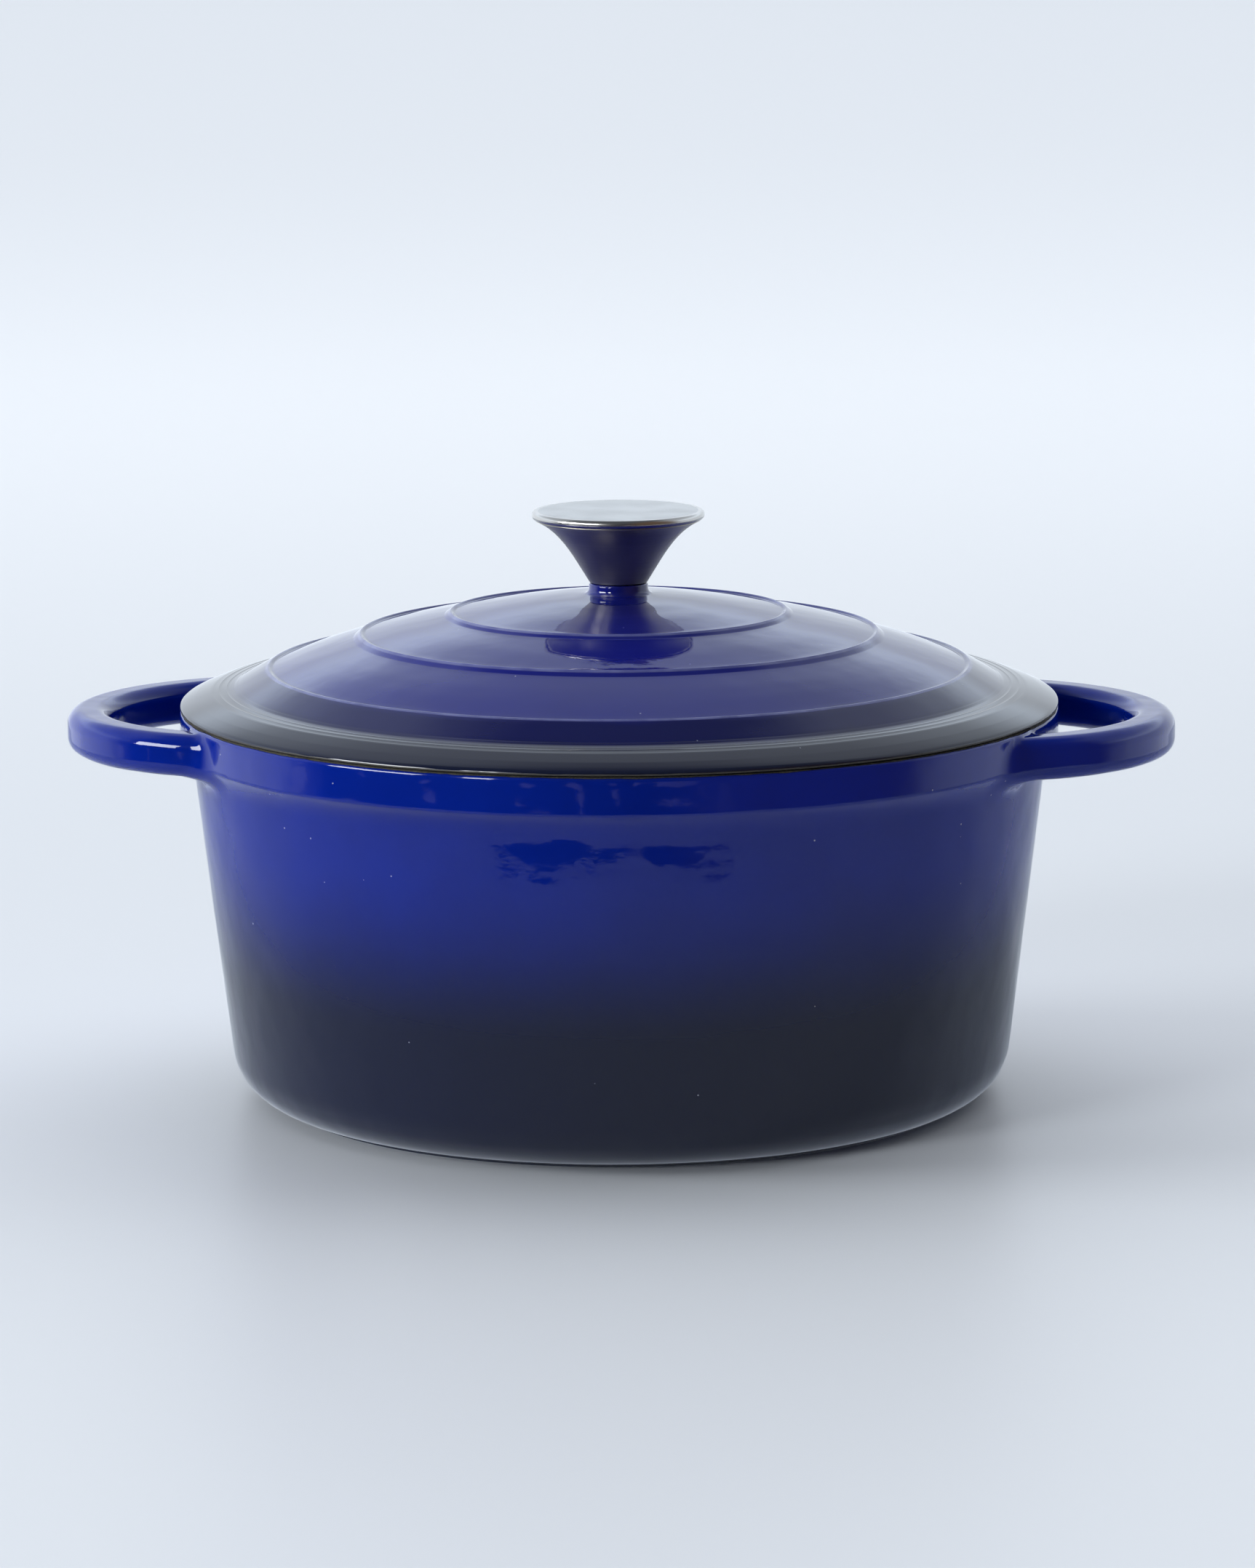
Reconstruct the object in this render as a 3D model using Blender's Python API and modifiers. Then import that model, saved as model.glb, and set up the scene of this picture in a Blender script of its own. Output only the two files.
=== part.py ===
"""Round enamelled cast iron dutch oven: a pot with two cast loop handles, a lid and its screwed-on knob.

Lengths are in millimetres at the top of the file and become metres where a mesh is made.
+Z is up, +X runs along the two handles, and the origin is the centre of the foot ring on the table.
"""

import math

import bmesh
import bpy
from mathutils import Matrix, Vector

MM = 0.001
GAP = 0.3  # clearance left between two pieces that touch
CAST_STEPS = 64  # facets round the pot and the lid
STEEL_STEPS = 40  # facets round the knob's pieces
SCREW_STEPS = 24  # facets round the screw and its washers
SHARP_ANGLE_DEG = 35.0  # edges sharper than this stay sharp in the shading
CUTTER_OVERRUN = 2.0  # how far a cutter runs out past the surface it opens

# Pot, outside. The wall is a cone: its radius grows by WALL_TAPER for each millimetre of height.
WALL_RADIUS_AT_TABLE = 116.9
WALL_TAPER = 0.119
WALL_THICKNESS = 4.2
BAND_RADIUS = 133.0  # the thick band round the mouth
BAND_BOTTOM = 108.7
BAND_EDGE_ROUND = 1.8
BAND_FILLET = 11.0
RIM_TOP = 119.2
RIM_ROUND = 1.4
CORNER_ROUND = 15.7  # between the wall and the underside
FOOT_HEIGHT = 0.6
FOOT_OUTER_RADIUS = 105.5
FOOT_INNER_RADIUS = 94.0
FOOT_RECESS = 0.9
FOOT_RECESS_SLOPE = 1.2
FOOT_EDGE = 0.2

# Pot, inside.
FLOOR_TOP = 5.2
INNER_CORNER_ROUND = 14.0
MOUTH_CHAMFER = 0.8

# Loop handles: a rounded bar bent on a circle that the wall cuts off.
HANDLE_BEND_RADIUS = 55.0
HANDLE_REACH = 168.0  # from the pot's axis to the bar's outer face
HANDLE_WIDTH = 13.4
HANDLE_HEIGHT = 13.0
HANDLE_ROUND = 4.6
HANDLE_TOP = 118.0
HANDLE_END_ANGLE = 100.0  # how far round its circle the bar runs each way, ending inside the pot
HANDLE_POINTS = 25

# Lid. Each tier of its dome is a gently bulging slope from one radius and height to the next.
LID_RADIUS = 132.8
LID_SEAT = RIM_TOP + GAP
LID_THICKNESS = 4.2
LID_EDGE_ROUND = 2.2
LID_LOWER_ROUND = 0.6
TIERS = (
    ((12.2, 152.35), (49.2, 147.1)),
    ((52.9, 146.2), (76.6, 140.8)),
    ((80.4, 139.4), (104.4, 131.0)),
)
TIER_BULGE = 0.35
RIDGES = ((50.8, 147.7), (78.2, 141.4), (106.0, 131.5))  # crest radius and height of each raised ring
RIDGE_ROUND = 1.1
TROUGH = ((112.0, 128.1), (115.6, 126.2), (119.5, 124.9))  # down from the last ring to the flange
FLANGE_EDGE_HEIGHT = 123.0
FLANGE_SLOPE_DEG = 9.0
SKIRT_OUTER_RADIUS = 125.6  # the ring under the lid that keeps it centred in the mouth
SKIRT_INNER_RADIUS = 121.0
SKIRT_BOTTOM = 114.5
SKIRT_ROUND = 1.2
SKIRT_DRAFT = 0.4
UNDER_START_HEIGHT = 120.0  # the underside just inside the skirt
UNDER_STEP_OUT = 0.6  # how far each step of the underside lies inside and outside the step above it
UNDER_STEP_IN = 1.8
UNDER_TOP = (12.5, 148.2)  # where the underside meets the screw pad
BOSS_RADIUS = 8.9
BOSS_TOP = 155.7
BOSS_ROUND = 0.6
BOSS_FILLET = 2.8
BOSS_DRAFT = 0.1
SCREW_PAD_RADIUS = 9.5
SCREW_PAD_HEIGHT = 147.2

# Knob, its insert and its fasteners.
KNOB_BASE = BOSS_TOP + GAP
KNOB_LIP = 175.3
KNOB_SHELL_CURVE = ((8.9, KNOB_BASE), (13.7, 163.9), (17.4, 171.4), (25.6, KNOB_LIP))
KNOB_SHELL_THICKNESS = 1.1
KNOB_SHELL_RAISE = 0.5  # the inner curve lies this much higher, because the shell leans
KNOB_LIP_WIDTH = 2.0
CAP_RADIUS = 26.1
CAP_BOTTOM = KNOB_LIP + GAP
CAP_TOP = 177.7
CAP_SPIGOT_RADIUS = 22.6
CAP_SPIGOT_DEPTH = 1.6
CORE_RADIUS = 6.4
CORE_BOTTOM = 157.6
CORE_TOP = 168.4
CORE_WEB_RADIUS = 15.0
CORE_WEB_BOTTOM = 166.4
CORE_WEB_TAPER = 1.6
CORE_FILLET = 1.0
HOLE_RADIUS = 3.4  # clearance for the screw, and the insert's threaded hole
CORE_HOLE_TOP = 165.6
DRILL_POINT = 1.2
GASKET_RADIUS = 7.4
GASKET_HOLE_RADIUS = 3.6
SCREW_RADIUS = 3.0
SCREW_TIP = 164.6
SCREW_TIP_CHAMFER = 0.6
SCREW_HEAD_RADIUS = 5.9
SCREW_HEAD_HEIGHT = 3.6
SCREW_HEAD_ROUND = 1.6
WASHER_RADIUS = 8.2
WASHER_THICKNESS = 1.3
RING_EDGE = 0.2  # chamfer on the outer edges of the gasket and the washers
SPRING_WASHER_RADIUS = 5.5
SPRING_WASHER_THICKNESS = 1.6
SPRING_WASHER_SLIT = 0.9
SPRING_WASHER_SLIT_DEG = 12.0
RECESS_LENGTH = 6.4
RECESS_WIDTH = 1.3
RECESS_DEPTH = 2.0


def clear_scene():
    """Remove every object that the file opened with."""
    for thing in list(bpy.data.objects):
        bpy.data.objects.remove(thing, do_unlink=True)


def make_collection(name):
    """A new collection linked to the scene."""
    collection = bpy.data.collections.new(name)
    bpy.context.scene.collection.children.link(collection)
    return collection


def make_material(name, color, roughness, metallic=0.0):
    """A plain Principled material."""
    material = bpy.data.materials.new(name)
    material.use_nodes = True
    shader = material.node_tree.nodes["Principled BSDF"]
    shader.inputs["Base Color"].default_value = (*color, 1.0)
    shader.inputs["Roughness"].default_value = roughness
    shader.inputs["Metallic"].default_value = metallic
    material.diffuse_color = (*color, 1.0)
    return material


def arc(centre, radius, start_deg, end_deg, count):
    """Points on a circle's arc in the profile plane, both ends included."""
    points = []
    for step in range(count):
        angle = math.radians(start_deg + (end_deg - start_deg) * step / (count - 1))
        points.append((centre[0] + radius * math.cos(angle), centre[1] + radius * math.sin(angle)))
    return points


def bezier(curve, count):
    """Points on a cubic Bezier curve given by its four control points."""
    points = []
    for step in range(count):
        t = step / (count - 1)
        weights = ((1 - t) ** 3, 3 * t * (1 - t) ** 2, 3 * t * t * (1 - t), t ** 3)
        points.append(tuple(sum(w * p[axis] for w, p in zip(weights, curve)) for axis in (0, 1)))
    return points


def wall_radius(height):
    """The pot wall's outer radius at a height."""
    return WALL_RADIUS_AT_TABLE + WALL_TAPER * height


def wall_angle():
    """The wall's lean from the vertical, in degrees."""
    return math.degrees(math.atan(WALL_TAPER))


def smooth(mesh):
    """Smooth shading that keeps sharp edges."""
    mesh.shade_smooth()
    mesh.set_sharp_from_angle(angle=math.radians(SHARP_ANGLE_DEG))


def turned(name, profile, steps, material, collection, closed=False):
    """A solid of revolution about Z. The profile runs down its outer side, in millimetres."""
    mesh = bpy.data.meshes.new(name)
    edges = [(index, index + 1) for index in range(len(profile) - 1)]
    if closed:
        edges.append((len(profile) - 1, 0))
    mesh.from_pydata([(r * MM, 0.0, z * MM) for r, z in profile], edges, [])
    solid = bpy.data.objects.new(name, mesh)
    collection.objects.link(solid)
    screw = solid.modifiers.new("Turn", "SCREW")
    screw.axis = "Z"
    screw.angle = math.tau
    screw.steps = steps
    screw.render_steps = steps
    screw.use_merge_vertices = True
    screw.merge_threshold = 0.00002
    mesh.materials.append(material)
    return solid


def finished(solid):
    """Replace an object by its evaluated mesh, welded and shaded smooth."""
    evaluated = solid.evaluated_get(bpy.context.evaluated_depsgraph_get())
    mesh = bpy.data.meshes.new_from_object(evaluated)
    work = bmesh.new()
    work.from_mesh(mesh)
    bmesh.ops.remove_doubles(work, verts=work.verts, dist=0.00001)
    bmesh.ops.recalc_face_normals(work, faces=work.faces)
    work.to_mesh(mesh)
    work.free()
    smooth(mesh)
    name = solid.name
    collection = solid.users_collection[0]
    place = solid.matrix_world.copy()
    bpy.data.objects.remove(solid, do_unlink=True)
    result = bpy.data.objects.new(name, mesh)
    result.matrix_world = place
    collection.objects.link(result)
    return result


def boolean(target, tool, operation):
    """Add an exact Boolean with another object."""
    modifier = target.modifiers.new(operation.title(), "BOOLEAN")
    modifier.operation = operation
    modifier.solver = "EXACT"
    modifier.object = tool


def as_guide(tool):
    """Mark an object as a cutter or guide, which isn't part of the model."""
    tool.hide_render = True
    tool.display_type = "WIRE"
    return tool


def pot_outline():
    """The pot's outer profile: rim, band, fillet, wall, corner, foot ring and the recess inside it."""
    lean = math.radians(wall_angle())
    radii = BAND_EDGE_ROUND + BAND_FILLET
    reach = wall_radius(BAND_BOTTOM + BAND_FILLET * math.sin(lean)) - BAND_RADIUS
    reach += BAND_EDGE_ROUND + BAND_FILLET * math.cos(lean)
    turn = lean + math.acos(reach / radii * math.cos(lean))
    edge_centre = (BAND_RADIUS - BAND_EDGE_ROUND, BAND_BOTTOM)
    fillet_centre = (edge_centre[0] + radii * math.cos(turn), edge_centre[1] - radii * math.sin(turn))
    corner_height = FOOT_HEIGHT + CORNER_ROUND
    corner_centre = (wall_radius(corner_height) - CORNER_ROUND / math.cos(lean), corner_height)
    foot_sine = (FOOT_OUTER_RADIUS - corner_centre[0]) / CORNER_ROUND
    turn_deg = math.degrees(turn)
    points = [(0.0, RIM_TOP)]
    points += arc((BAND_RADIUS - RIM_ROUND, RIM_TOP - RIM_ROUND), RIM_ROUND, 90, 0, 4)
    points += arc(edge_centre, BAND_EDGE_ROUND, 0, -turn_deg, 4)
    points += arc(fillet_centre, BAND_FILLET, 180 - turn_deg, 180 - wall_angle(), 5)[1:]
    points += arc(corner_centre, CORNER_ROUND, -wall_angle(), math.degrees(math.asin(foot_sine)) - 90, 8)
    points += [
        (FOOT_OUTER_RADIUS, FOOT_EDGE),
        (FOOT_OUTER_RADIUS - FOOT_EDGE, 0.0),
        (FOOT_INNER_RADIUS, 0.0),
        (FOOT_INNER_RADIUS - FOOT_RECESS_SLOPE, FOOT_RECESS),
        (0.0, FOOT_RECESS),
    ]
    return points


def cavity_outline():
    """The pot's inside, as a plug that runs out through the mouth."""
    def inner(height):
        return wall_radius(height) - WALL_THICKNESS

    lean = math.radians(wall_angle())
    corner_height = FLOOR_TOP + INNER_CORNER_ROUND
    corner_centre = (inner(corner_height) - INNER_CORNER_ROUND / math.cos(lean), corner_height)
    mouth = inner(RIM_TOP) + MOUTH_CHAMFER
    points = [(0.0, RIM_TOP + CUTTER_OVERRUN), (mouth + CUTTER_OVERRUN, RIM_TOP + CUTTER_OVERRUN)]
    points.append((inner(RIM_TOP - MOUTH_CHAMFER), RIM_TOP - MOUTH_CHAMFER))
    points += arc(corner_centre, INNER_CORNER_ROUND, -wall_angle(), -90, 7)
    points.append((0.0, FLOOR_TOP))
    return points


def rounded_rectangle(width, height, radius, per_corner):
    """A closed 2D outline, counter-clockwise."""
    points = []
    corners = ((1, 1, 0), (-1, 1, 90), (-1, -1, 180), (1, -1, 270))
    for side_x, side_y, start in corners:
        centre = (side_x * (width / 2 - radius), side_y * (height / 2 - radius))
        points += arc(centre, radius, start, start + 90, per_corner)
    return points


def poly_curve(name, points, cyclic, dimensions, collection):
    """A curve object through points given in metres."""
    curve = bpy.data.curves.new(name, "CURVE")
    curve.dimensions = dimensions
    spline = curve.splines.new("POLY")
    spline.points.add(len(points) - 1)
    for point, place in zip(spline.points, points):
        point.co = (*place, 1.0)
    spline.use_cyclic_u = cyclic
    wire = bpy.data.objects.new(name, curve)
    collection.objects.link(wire)
    return wire


def handle_bar(name, side, collection):
    """One loop handle: a rounded bar swept round its circle, with both ends inside the pot."""
    section = rounded_rectangle(HANDLE_WIDTH * MM, HANDLE_HEIGHT * MM, HANDLE_ROUND * MM, 4)
    outline = poly_curve(name + "_section", [(x, y, 0.0) for x, y in section], True, "2D", collection)
    centre_x = HANDLE_REACH - HANDLE_WIDTH / 2 - HANDLE_BEND_RADIUS
    height = (HANDLE_TOP - HANDLE_HEIGHT / 2) * MM
    bend = arc((centre_x, 0.0), HANDLE_BEND_RADIUS, -HANDLE_END_ANGLE, HANDLE_END_ANGLE, HANDLE_POINTS)
    path = [(side * x * MM, side * y * MM, height) for x, y in bend]
    bar = poly_curve(name, path, False, "3D", collection)
    bar.data.twist_mode = "Z_UP"
    bar.data.bevel_mode = "OBJECT"
    bar.data.bevel_object = outline
    bar.data.use_fill_caps = True
    solid = finished(bar)
    bpy.data.objects.remove(outline, do_unlink=True)
    return as_guide(solid)


def build_pot(parts, cutters, enamel):
    """The pot: one casting, hollowed after its handles are joined to it."""
    pot = turned("pot_body", pot_outline(), CAST_STEPS, enamel, parts)
    for name, side in (("handle_right", 1), ("handle_left", -1)):
        boolean(pot, handle_bar(name, side, cutters), "UNION")
    cavity = as_guide(turned("pot_cavity", cavity_outline(), CAST_STEPS, enamel, cutters))
    boolean(pot, cavity, "DIFFERENCE")
    return finished(pot)


def bulged(start, end, count):
    """Points along a tier, lifted towards its middle by TIER_BULGE."""
    points = []
    for step in range(count):
        t = step / (count - 1)
        lift = TIER_BULGE * 4 * t * (1 - t)
        points.append((start[0] + (end[0] - start[0]) * t, start[1] + (end[1] - start[1]) * t + lift))
    return points


def lid_top_outline():
    """The lid's upper side, from the screw hole out over the boss, tiers and flange to its lower edge."""
    points = [(HOLE_RADIUS, BOSS_TOP)]
    points += arc((BOSS_RADIUS - BOSS_ROUND, BOSS_TOP - BOSS_ROUND), BOSS_ROUND, 90, 0, 3)
    fillet_centre = (BOSS_RADIUS + BOSS_DRAFT + BOSS_FILLET, TIERS[0][0][1] + BOSS_FILLET)
    points += arc(fillet_centre, BOSS_FILLET, 180, 262, 4)
    for tier, (radius, crest) in zip(TIERS, RIDGES):
        points += bulged(*tier, 4)
        points += arc((radius, crest - RIDGE_ROUND), RIDGE_ROUND, 120, 15, 4)
    points += TROUGH
    edge_centre = (LID_RADIUS - LID_EDGE_ROUND, FLANGE_EDGE_HEIGHT - LID_EDGE_ROUND)
    points += arc(edge_centre, LID_EDGE_ROUND, 90 - FLANGE_SLOPE_DEG, 0, 5)
    lower_centre = (LID_RADIUS - LID_LOWER_ROUND, LID_SEAT + LID_LOWER_ROUND)
    points += arc(lower_centre, LID_LOWER_ROUND, 0, -90, 3)
    return points


def lid_under_outline():
    """The lid's underside, from the seat in past the skirt and up under the dome to the screw pad."""
    points = [(SKIRT_OUTER_RADIUS, LID_SEAT)]
    skirt_top = SKIRT_BOTTOM + SKIRT_ROUND
    points += arc((SKIRT_OUTER_RADIUS - SKIRT_DRAFT - SKIRT_ROUND, skirt_top), SKIRT_ROUND, 0, -90, 3)
    points += arc((SKIRT_INNER_RADIUS + SKIRT_DRAFT + SKIRT_ROUND, skirt_top), SKIRT_ROUND, -90, -180, 3)
    points.append((SKIRT_INNER_RADIUS, UNDER_START_HEIGHT))
    for (start, end) in reversed(TIERS):
        points.append((end[0] - UNDER_STEP_OUT, end[1] - LID_THICKNESS))
        points.append((start[0] + UNDER_STEP_IN, start[1] - LID_THICKNESS))
    points[-1] = UNDER_TOP
    points += [(SCREW_PAD_RADIUS, SCREW_PAD_HEIGHT), (HOLE_RADIUS, SCREW_PAD_HEIGHT)]
    return points


def build_lid(parts, enamel):
    """The lid: one turned casting with a hole for the knob's screw."""
    outline = lid_top_outline() + lid_under_outline()
    return finished(turned("lid", outline, CAST_STEPS, enamel, parts, closed=True))


def build_knob_shell(parts, steel):
    """The flared steel shell of the knob, open at both ends."""
    outer = bezier(KNOB_SHELL_CURVE, 9)
    inner = [(r - KNOB_SHELL_THICKNESS, z + KNOB_SHELL_RAISE) for r, z in outer]
    inner[0] = (outer[0][0] - KNOB_SHELL_THICKNESS, KNOB_BASE)
    inner[-1] = (outer[-1][0] - KNOB_LIP_WIDTH, KNOB_LIP)
    return finished(turned("knob_shell", outer[::-1] + inner, STEEL_STEPS, steel, parts, closed=True))


def build_knob_cap(parts, steel):
    """The round disc on top of the knob, with a bull-nosed edge and a spigot inside the shell."""
    edge = (CAP_TOP - CAP_BOTTOM) / 2
    points = [(0.0, CAP_TOP)]
    points += arc((CAP_RADIUS - edge, CAP_TOP - edge), edge, 90, -90, 7)
    points += [
        (CAP_SPIGOT_RADIUS, CAP_BOTTOM),
        (CAP_SPIGOT_RADIUS - CAP_SPIGOT_DEPTH, CAP_BOTTOM - CAP_SPIGOT_DEPTH),
        (0.0, CAP_BOTTOM - CAP_SPIGOT_DEPTH),
    ]
    return finished(turned("knob_cap", points, STEEL_STEPS, steel, parts))


def build_knob_core(parts, steel):
    """The insert welded inside the knob: a web against the shell and a hub with the screw's blind hole."""
    points = [
        (0.0, CORE_TOP),
        (CORE_WEB_RADIUS, CORE_TOP),
        (CORE_WEB_RADIUS - CORE_WEB_TAPER, CORE_WEB_BOTTOM),
        (CORE_RADIUS + CORE_FILLET, CORE_WEB_BOTTOM),
        (CORE_RADIUS, CORE_WEB_BOTTOM - CORE_FILLET),
        (CORE_RADIUS, CORE_BOTTOM),
        (HOLE_RADIUS, CORE_BOTTOM),
        (HOLE_RADIUS, CORE_HOLE_TOP),
        (0.0, CORE_HOLE_TOP + DRILL_POINT),
    ]
    return finished(turned("knob_core", points, SCREW_STEPS, steel, parts))


def ring(name, inner, outer, bottom, top, material, parts):
    """A flat ring with slightly broken outer edges."""
    points = [
        (inner, top),
        (outer - RING_EDGE, top),
        (outer, top - RING_EDGE),
        (outer, bottom + RING_EDGE),
        (outer - RING_EDGE, bottom),
        (inner, bottom),
    ]
    return turned(name, points, SCREW_STEPS, material, parts, closed=True)


def box_cutter(name, size, centre, turn_deg, collection):
    """A box cutter, sized and placed in millimetres and turned about Z."""
    mesh = bpy.data.meshes.new(name)
    work = bmesh.new()
    bmesh.ops.create_cube(work, size=1.0)
    bmesh.ops.scale(work, vec=Vector(size) * MM, verts=work.verts)
    work.to_mesh(mesh)
    work.free()
    cutter = bpy.data.objects.new(name, mesh)
    turn = Matrix.Rotation(math.radians(turn_deg), 4, "Z")
    cutter.matrix_world = Matrix.Translation(Vector(centre) * MM) @ turn
    collection.objects.link(cutter)
    return as_guide(cutter)


def build_fasteners(parts, cutters, steel, dark_steel):
    """The flat washer, the split spring washer and the screw, stacked down from the lid's pad."""
    washer_top = SCREW_PAD_HEIGHT - GAP
    washer_bottom = washer_top - WASHER_THICKNESS
    washer = ring("flat_washer", HOLE_RADIUS, WASHER_RADIUS, washer_bottom, washer_top, steel, parts)
    spring_top = washer_bottom - GAP
    spring_bottom = spring_top - SPRING_WASHER_THICKNESS
    spring = ring(
        "spring_washer", HOLE_RADIUS, SPRING_WASHER_RADIUS, spring_bottom, spring_top, dark_steel, parts
    )
    slit_centre = (0.0, -(HOLE_RADIUS + SPRING_WASHER_RADIUS) / 2, (spring_top + spring_bottom) / 2)
    slit_size = (SPRING_WASHER_SLIT, 2 * (SPRING_WASHER_RADIUS - HOLE_RADIUS), 2 * SPRING_WASHER_THICKNESS)
    slit = box_cutter("washer_slit", slit_size, slit_centre, SPRING_WASHER_SLIT_DEG, cutters)
    boolean(spring, slit, "DIFFERENCE")
    spring = finished(spring)
    head_top = spring_bottom - GAP
    head_bottom = head_top - SCREW_HEAD_HEIGHT
    points = [(0.0, SCREW_TIP), (SCREW_RADIUS - SCREW_TIP_CHAMFER, SCREW_TIP)]
    points += [(SCREW_RADIUS, SCREW_TIP - SCREW_TIP_CHAMFER), (SCREW_RADIUS, head_top)]
    points.append((SCREW_HEAD_RADIUS, head_top))
    head_centre = (SCREW_HEAD_RADIUS - SCREW_HEAD_ROUND, head_bottom + SCREW_HEAD_ROUND)
    points += arc(head_centre, SCREW_HEAD_ROUND, 0, -90, 4)
    points.append((0.0, head_bottom))
    screw = turned("lid_screw", points, SCREW_STEPS, steel, parts)
    recess_centre = (0.0, 0.0, head_bottom)
    for name, size in (
        ("recess_x", (RECESS_LENGTH, RECESS_WIDTH, 2 * RECESS_DEPTH)),
        ("recess_y", (RECESS_WIDTH, RECESS_LENGTH, 2 * RECESS_DEPTH)),
    ):
        boolean(screw, box_cutter(name, size, recess_centre, 0.0, cutters), "DIFFERENCE")
    return [finished(washer), spring, finished(screw)]


def hang_on(empty, pieces):
    """Parent pieces to an empty without moving them."""
    bpy.context.view_layer.update()
    for piece in pieces:
        piece.parent = empty
        piece.matrix_parent_inverse = empty.matrix_world.inverted()


def make_empty(name, height, collection):
    """An empty on the oven's axis."""
    empty = bpy.data.objects.new(name, None)
    empty.location = (0.0, 0.0, height * MM)
    collection.objects.link(empty)
    return empty


def main():
    clear_scene()
    parts = make_collection("dutch_oven")
    cutters = make_collection("dutch_oven_cutters")
    pot_enamel = make_material("pot_enamel", (0.012, 0.018, 0.26), 0.12)
    lid_enamel = make_material("lid_enamel", (0.016, 0.022, 0.22), 0.12)
    satin_steel = make_material("satin_steel", (0.62, 0.62, 0.60), 0.35, 1.0)
    polished_steel = make_material("polished_steel", (0.55, 0.55, 0.54), 0.15, 1.0)
    plated_steel = make_material("plated_steel", (0.50, 0.50, 0.49), 0.3, 1.0)
    spring_steel = make_material("spring_steel", (0.22, 0.21, 0.20), 0.4, 1.0)
    rubber = make_material("gasket_rubber", (0.03, 0.03, 0.03), 0.8)
    build_pot(parts, cutters, pot_enamel)
    lid = build_lid(parts, lid_enamel)
    gasket_top = CORE_BOTTOM - GAP
    gasket = ring("knob_gasket", GASKET_HOLE_RADIUS, GASKET_RADIUS, KNOB_BASE, gasket_top, rubber, parts)
    knob = [
        build_knob_shell(parts, polished_steel),
        build_knob_cap(parts, satin_steel),
        build_knob_core(parts, plated_steel),
        finished(gasket),
    ]
    knob += build_fasteners(parts, cutters, plated_steel, spring_steel)
    lift_axis = make_empty("lid_lift_axis", RIM_TOP, parts)
    turn_axis = make_empty("lid_turn_axis", LID_SEAT, parts)
    hang_on(lift_axis, knob + [turn_axis])
    hang_on(turn_axis, [lid])


main()
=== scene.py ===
"""Looks of the round enamelled cast iron dutch oven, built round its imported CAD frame.

Profiles are in millimetres and become metres where a mesh is made. +Z is up and +X runs along the handles.
"""

import math

import bmesh
import bpy
import numpy as np
from mathutils import Matrix, Vector, noise


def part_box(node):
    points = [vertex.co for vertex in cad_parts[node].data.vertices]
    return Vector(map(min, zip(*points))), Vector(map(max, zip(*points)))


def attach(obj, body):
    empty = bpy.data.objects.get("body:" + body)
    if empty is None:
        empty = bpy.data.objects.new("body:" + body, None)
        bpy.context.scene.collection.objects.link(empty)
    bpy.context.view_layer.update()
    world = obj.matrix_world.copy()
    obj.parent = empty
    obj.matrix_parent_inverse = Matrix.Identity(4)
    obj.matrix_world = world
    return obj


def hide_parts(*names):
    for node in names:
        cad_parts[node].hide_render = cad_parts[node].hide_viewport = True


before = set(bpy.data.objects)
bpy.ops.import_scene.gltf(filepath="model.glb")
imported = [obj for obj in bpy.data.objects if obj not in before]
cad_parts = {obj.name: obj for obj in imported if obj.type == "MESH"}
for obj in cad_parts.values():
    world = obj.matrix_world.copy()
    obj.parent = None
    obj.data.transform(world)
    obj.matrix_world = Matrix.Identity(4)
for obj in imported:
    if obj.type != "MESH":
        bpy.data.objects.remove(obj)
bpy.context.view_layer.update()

MM = 0.001
LOW, HIGH = 0, 1  # the two corners of a box
OUTER, INNER = 0, 1  # the material slots of a casting


def frame_mm(node, corner, axis):
    """One coordinate of a CAD node's box, in millimetres."""
    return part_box(node)[corner][axis] / MM


SOLID_GAP = 0.3  # left between two solids that touch on the real pot

# Driving sizes, read from the frame.
RIM_TOP = frame_mm("pot_body", HIGH, 2)
BAND_RADIUS = frame_mm("pot_body", HIGH, 1)
HANDLE_REACH = frame_mm("pot_body", HIGH, 0)
LID_RADIUS = frame_mm("lid", HIGH, 1)
BOSS_TOP = frame_mm("lid", HIGH, 2)
SKIRT_BOTTOM = frame_mm("lid", LOW, 2)
LID_SEAT = RIM_TOP + SOLID_GAP
KNOB_BASE = frame_mm("knob_shell", LOW, 2)
KNOB_LIP = frame_mm("knob_shell", HIGH, 2)
KNOB_LIP_RADIUS = frame_mm("knob_shell", HIGH, 1)
CAP_TOP = frame_mm("knob_cap", HIGH, 2)
CAP_RADIUS = frame_mm("knob_cap", HIGH, 1)
SCREW_PAD = frame_mm("flat_washer", HIGH, 2) + SOLID_GAP

# The photograph's viewpoint, in metres and degrees, with the lens in millimetres.
CAMERA_DISTANCE = 1.750
CAMERA_HEIGHT = 0.4046
CAMERA_SIDE = 0.00235
CAMERA_PITCH = 10.071
CAMERA_ROLL = -0.35
CAMERA_YAW = 3.5
CAMERA_LENS = 134.22
SENSOR_WIDTH = 36.0


def arc(centre, radius, start_deg, end_deg, count):
    """Points on an arc in the profile plane, both ends included."""
    angles = np.radians(np.linspace(start_deg, end_deg, count))
    return [(centre[0] + radius * math.cos(a), centre[1] + radius * math.sin(a)) for a in angles]


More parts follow.
